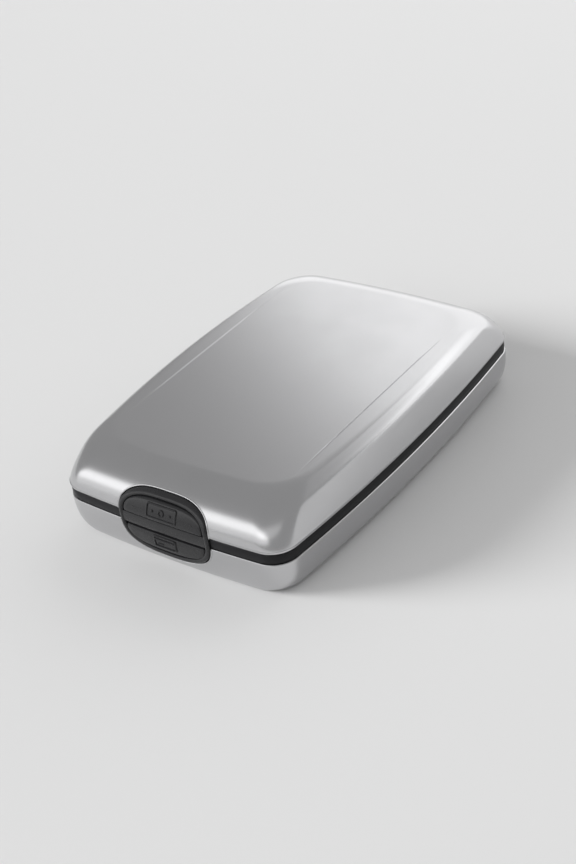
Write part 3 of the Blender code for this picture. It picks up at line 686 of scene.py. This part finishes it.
def button(name, sign, body, node):
    """Push button: a domed pad with rounded edges, two arms and the crossbar that holds the lid's barb."""
    edge = np.array([(0.0, -0.4), (0.0, 0.06), (0.05, 0.2), (0.16, 0.31), (0.34, 0.37)]) * mm
    rings = [front_points(*pad_outline(sign, inset).T, proud) for inset, proud in edge]
    inner = pad_outline(sign, edge[-1, 0])
    middle = inner.mean(0)
    back = pad_outline(sign, 0)
    for share in (0.9, 0.76, 0.6, 0.42, 0.22, 0.04):
        crown = edge[-1, 1] + pad_crown * (1 - share ** 2)
        rings.append(front_points(*(middle + (inner - middle) * share).T, crown))
    backs = [front_points(*(middle + (back - middle) * share).T, -pad_depth) for share in (0.04, 0.4, 0.75)]
    pad = loft_parts(backs + rings)
    low, high = sorted(sign * arm_heights)
    arm_end = -half_length + arm_reach
    arms = [block((x - arm_half_width, -half_length, low), (x + arm_half_width, arm_end, high))
            for x in (-arm_place, arm_place)]
    low, high = sorted(sign * crossbar_heights)
    near, far = [-half_length + reach for reach in crossbar_reaches]
    crossbar = block((-crossbar_half_length, near, low), (crossbar_half_length, far, high))
    points, faces = merged([pad, crossbar] + arms)
    mesh_piece(name, points, faces, body, "charcoal_plastic", charcoal, (node,))


def raised_lines(name, lines, body):
    """Low raised pictogram on a pad: closed lines in X and Z, laid as half-sunk beads on its face."""
    parts = []
    for line, radius in lines:
        x, z = evenly(line, sign_points).T
        beads = front_points(x, z, sign_proud)
        parts.append(sweep_tube(beads, np.array([0, -1, 0]), radius, sides=8, closed=True))
    mesh_piece(name, *merged(parts), body, "charcoal_plastic", charcoal)


def rounded_box(x, z, half_x, half_z, corner):
    """Closed line round a rectangle with rounded corners."""
    angle = np.linspace(0, 2 * math.pi, 48, endpoint=False)
    cx = np.sign(np.cos(angle)) * (half_x - corner)
    cz = np.sign(np.sin(angle)) * (half_z - corner)
    return np.column_stack([x + cx + corner * np.cos(angle), z + cz + corner * np.sin(angle)])


def circle(x, z, radius):
    return rounded_box(x, z, radius, radius, radius)


def pictograms():
    """A banknote on the upper pad and a bank card on the lower one, as plain generic signs."""
    bead = 0.24 * mm
    raised_lines("banknote_sign", [(rounded_box(0, note_height, 4.2 * mm, 1.5 * mm, 0.35 * mm), bead),
                                   (circle(0, note_height, 0.66 * mm), bead),
                                   (circle(-2.6 * mm, note_height, 0.12 * mm), bead),
                                   (circle(2.6 * mm, note_height, 0.12 * mm), bead)], "cash_button")
    stripe = rounded_box(0, card_height + 0.5 * mm, 2.9 * mm, 0.1 * mm, 0.1 * mm)
    dash = rounded_box(-1.4 * mm, card_height - 0.6 * mm, 0.7 * mm, 0.06 * mm, 0.06 * mm)
    raised_lines("card_sign", [(rounded_box(0, card_height, 3.1 * mm, 1.45 * mm, 0.4 * mm), bead),
                               (stripe, 0.22 * mm), (dash, 0.18 * mm)], "cards_button")


def coil(node, centre, form, start, legs, turn_over=1, along_y=False):
    """Wound wire in place of a spring: a helix along X, or along Y, with a straight leg at each end.

    It starts at an angle in the plane across its axis, and turn_over mirrors it for the lower side.
    """
    wire, radius, pitch, turns = form
    count = int(turns * turn_points)
    angle = start + np.linspace(0, turns * 2 * math.pi, count + 1)
    x = (np.linspace(0, 1, count + 1) - 0.5) * turns * pitch
    radial = np.column_stack([np.zeros(count + 1), np.cos(angle), np.sin(angle)])
    line = np.column_stack([x, np.zeros((count + 1, 2))]) + radial * radius
    if along_y:
        ends = np.array([[-legs[0], 0, 0], [legs[1], 0, 0]])
    else:
        tangent = np.column_stack([np.zeros(2), -np.sin(angle[[0, -1]]), np.cos(angle[[0, -1]])])
        ends = tangent * np.array([[-legs[0]], [legs[1]]])
    line = np.vstack([line[0] + ends[0], line, line[-1] + ends[1]])
    radial = np.vstack([radial[0], radial, radial[-1]])
    if along_y:
        line, radial = line[:, [1, 0, 2]], radial[:, [1, 0, 2]]
    line = line * [1, 1, turn_over] + np.asarray(centre)
    radial = radial * [1, 1, turn_over]
    tube = sweep_tube(line, radial, wire / 2)
    return mesh_piece(node.replace("spring", "coil"), *tube, "chassis", "spring_steel", steel, (node,))


def springs():
    """All eight wound springs, finer than the solids but on the same centre lines."""
    button_spring_y = (button_spring_front + button_spring_seat) / 2
    for side, sign in (("cash", 1), ("cards", -1)):
        coil(f"{side}_lid_spring", (0, hinge_y, sign * hinge_height), lid_spring, math.pi / 2,
             (lid_spring[0], lid_spring_leg), sign)
        z = sign * button_spring_height
        for hand, x in (("left", -button_spring_place), ("right", button_spring_place)):
            made = coil(f"{side}_button_spring_{hand}", (x, button_spring_y, z), button_spring, 0,
                        (button_spring[0], button_spring[0]), along_y=True)
            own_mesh(made)
    coil("tray_spring", tray_pivot, tray_spring, math.pi, (tray_spring[0], tray_spring[0]))
    coil("clip_spring", clip_pivot, clip_spring, math.pi, (clip_spring[0], clip_spring[0]))


def softened(node, body, material, width):
    """The CAD piece with its faces merged and its sharp edges rounded, in the CAD piece's place."""
    made = bpy.data.objects.new(node + "_rounded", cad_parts[node].data.copy())
    bpy.context.scene.collection.objects.link(made)
    bm = bmesh.new()
    bm.from_mesh(made.data)
    bmesh.ops.remove_doubles(bm, verts=bm.verts, dist=2e-6)
    bmesh.ops.dissolve_limit(bm, angle_limit=math.radians(0.6), verts=bm.verts, edges=bm.edges)
    bm.to_mesh(made.data)
    bm.free()
    bevel = made.modifiers.new("Bevel", "BEVEL")
    bevel.width = width
    bevel.segments = 2
    bevel.limit_method = "ANGLE"
    bevel.angle_limit = math.radians(40)
    bevel.use_clamp_overlap = True
    result = evaluated_mesh(made)
    made.modifiers.clear()
    made.data = result
    dress(made, body, material, (node,))


def inner_works():
    """Plastic and steel pieces that show when the lids are open, each with the width of its rounded edges."""
    for node, body, width in (("mid_frame", "chassis", 0.1 * mm), ("cash_liner", "cash_lid", 0.12 * mm),
                              ("cards_liner", "cards_lid", 0.12 * mm), ("card_tray", "card_tray", 0.14 * mm)):
        softened(node, body, inner_black, width)
    softened("money_clip", "money_clip", strap_steel, 0.08 * mm)
    for node in ("hinge_pin_cash", "hinge_pin_cards", "tray_pin", "clip_pin"):
        softened(node, "chassis", steel, 0.08 * mm)


def soft_box(name, place, facing, turn, half_wide, half_tall, level):
    """Elliptic lamp in an upright plane, facing along Y and turned within that plane."""
    data = bpy.data.lights.new(name, "AREA")
    data.shape = "ELLIPSE"
    data.size, data.size_y = 2 * half_wide, 2 * half_tall
    data.energy = level * math.pi ** 2 * half_wide * half_tall
    lamp = bpy.data.objects.new(name, data)
    along = Vector((math.cos(turn), 0, math.sin(turn)))
    back = Vector((0, -facing, 0))
    axes = Matrix((along, back.cross(along), back)).transposed()
    lamp.matrix_world = Matrix.LocRotScale(Vector(place), axes.to_quaternion(), None)
    lamp.visible_camera = False
    bpy.context.scene.collection.objects.link(lamp)


def studio():
    """Pale floor under plain soft boxes: some behind, others in front, and a soft sun from the left."""
    mesh = bpy.data.meshes.new("floor")
    corners = [(-1, -1), (1, -1), (1, 1), (-1, 1)]
    mesh.from_pydata([(x * floor_reach, y * floor_reach, 0) for x, y in corners], [], [(0, 1, 2, 3)])
    floor = bpy.data.objects.new("floor", mesh)
    bpy.context.scene.collection.objects.link(floor)
    mesh.materials.append(surface("floor_paint", 0, painted(floor_tone, 0.9)))

    world = bpy.data.worlds.new("studio")
    world.use_nodes = True
    bpy.context.scene.world = world
    graph = Graph(world.node_tree)
    shade = graph.node("Background", {"Color": (1, 1, 1, 1), "Strength": world_level})
    graph.node("OutputWorld", {"Surface": shade["Background"]})

    soft_box("rear_box", (0.48, 1, -0.92), -1, 0.496, 1.28, 2.16, 0.82)
    soft_box("rear_glow", (0.48, 1.06, -0.92), -1, 0.496, 1.5, 2.4, 0.2)
    soft_box("side_box", (0.78, 1.04, 0.86), -1, 1.014, 0.4, 0.84, 0.45)
    soft_box("front_box", (-1.2, -1, 0.6), 1, 0.03, 1.5, 0.24, 0.7)
    soft_box("front_glow", (-1.3, -1.04, 0.48), 1, 0.03, 1.7, 0.48, 0.55)
    soft_box("corner_box", (0.84, -1.06, 1.26), 1, 0.58, 1.32, 0.3, 0.3)
    sun = bpy.data.lights.new("soft_sun", "SUN")
    sun.energy = sun_level
    sun.angle = sun_spread
    lamp = bpy.data.objects.new("soft_sun", sun)
    lamp.visible_glossy = False
    lamp.rotation_euler = Vector(sun_from).to_track_quat("Z", "Y").to_euler()
    bpy.context.scene.collection.objects.link(lamp)


make_camera()
shell("upper_shell", upper_form, "cash_lid", "cash_shell")
shell("lower_shell", lower_form, "cards_lid", "cards_shell")
belt()
bezel()
button("upper_button", 1, "cash_button", "cash_button")
button("lower_button", -1, "cards_button", "cards_button")
pictograms()
springs()
inner_works()
studio()

bpy.context.scene.view_settings.view_transform = "Standard"
